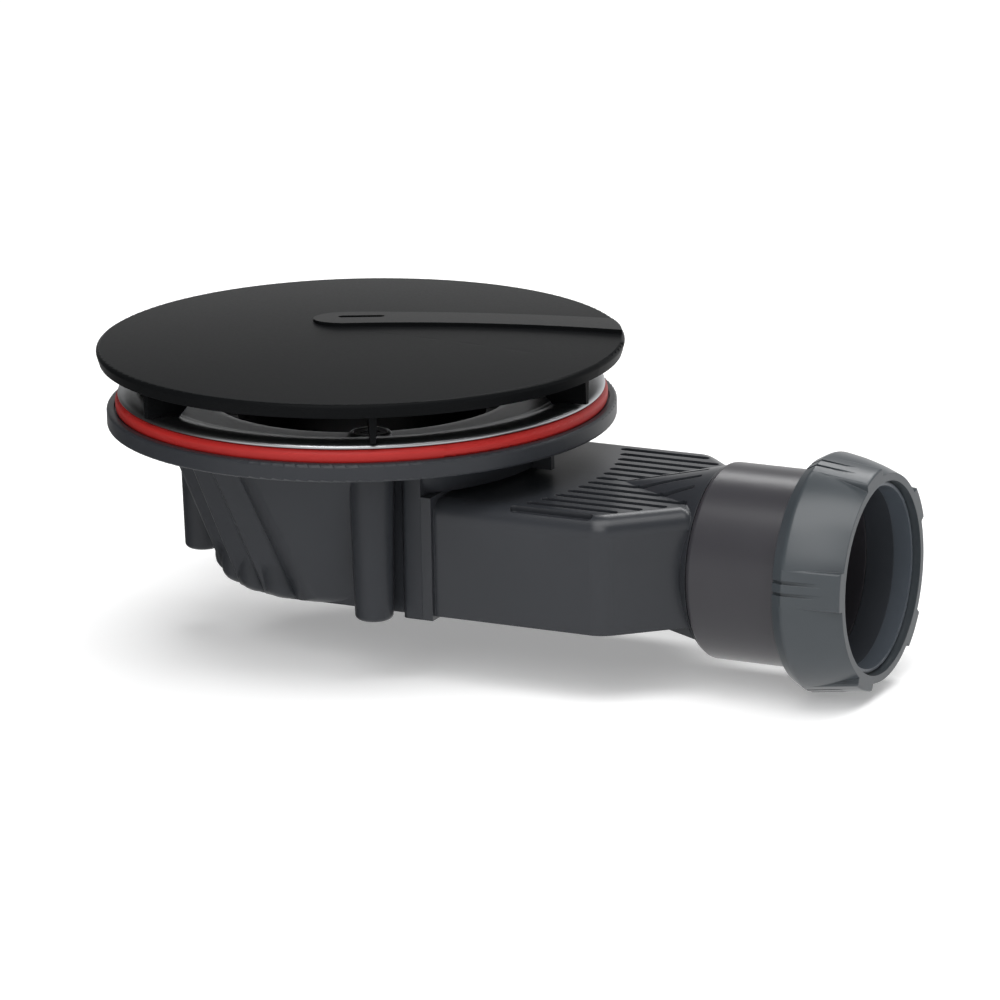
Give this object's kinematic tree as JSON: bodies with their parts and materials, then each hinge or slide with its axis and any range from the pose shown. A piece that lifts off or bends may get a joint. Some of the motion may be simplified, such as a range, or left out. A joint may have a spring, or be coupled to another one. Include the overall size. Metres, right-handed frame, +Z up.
{
  "type": "shower trap",
  "caption": "Low shower trap with a round domed cover over a polished flange, a pleated bowl and a flat duct to a horizontal pipe socket with a hand nut.",
  "frame": {"origin": "on the waste axis, in the plane where the shower tray is clamped between the flange and the gasket", "axes": "+X along the outlet, the way the waste pipe leaves; +Z up along the waste axis; +Y completes the frame"},
  "size_m": [0.1882, 0.12, 0.0715],
  "materials": {
    "cover_black": "matte black moulded ABS",
    "polished_steel": "mirror-polished pressed stainless steel",
    "screw_steel": "bright stainless screws",
    "red_silicone": "satin red silicone rubber",
    "body_grey": "satin dark grey moulded polypropylene",
    "duct_grey": "satin dark grey moulded polypropylene, welded to the body",
    "insert_brass": "turned brass",
    "insert_black": "black moulded polypropylene",
    "seal_black": "black EPDM rubber",
    "socket_grey": "satin warm dark grey polypropylene",
    "ring_grey": "satin grey polyethylene",
    "nut_grey": "satin mid grey polypropylene"
  },
  "bodies": {
    "trap": {"cover": "cover_black", "top_flange": "polished_steel", "flange_screws": "screw_steel", "tray_gasket": "red_silicone", "trap_body": "body_grey", "boss_inserts": "insert_brass", "outlet_duct": "duct_grey", "dip_tube": "insert_black", "dip_tube_seal": "seal_black", "outlet_socket": "socket_grey", "pipe_seal": "seal_black"},
    "nut_carrier": {"slip_ring": "ring_grey"},
    "nut": {"compression_nut": "nut_grey"}
  },
  "joints": [
    {"name": "nut_travel", "type": "slide", "parent": "trap", "child": "nut_carrier", "axis": [1, 0, 0], "range_m": [0, 0.008]},
    {"name": "nut_turn", "type": "hinge", "parent": "nut_carrier", "child": "nut", "pos_m": [0.1196, 0, -0.0307], "axis": [1, 0, 0], "range_deg": [0, 900]}
  ],
  "couplings": [
    {"joint": "nut_travel", "follows": "nut_turn", "m_per_rad": 0.00050929}
  ]
}
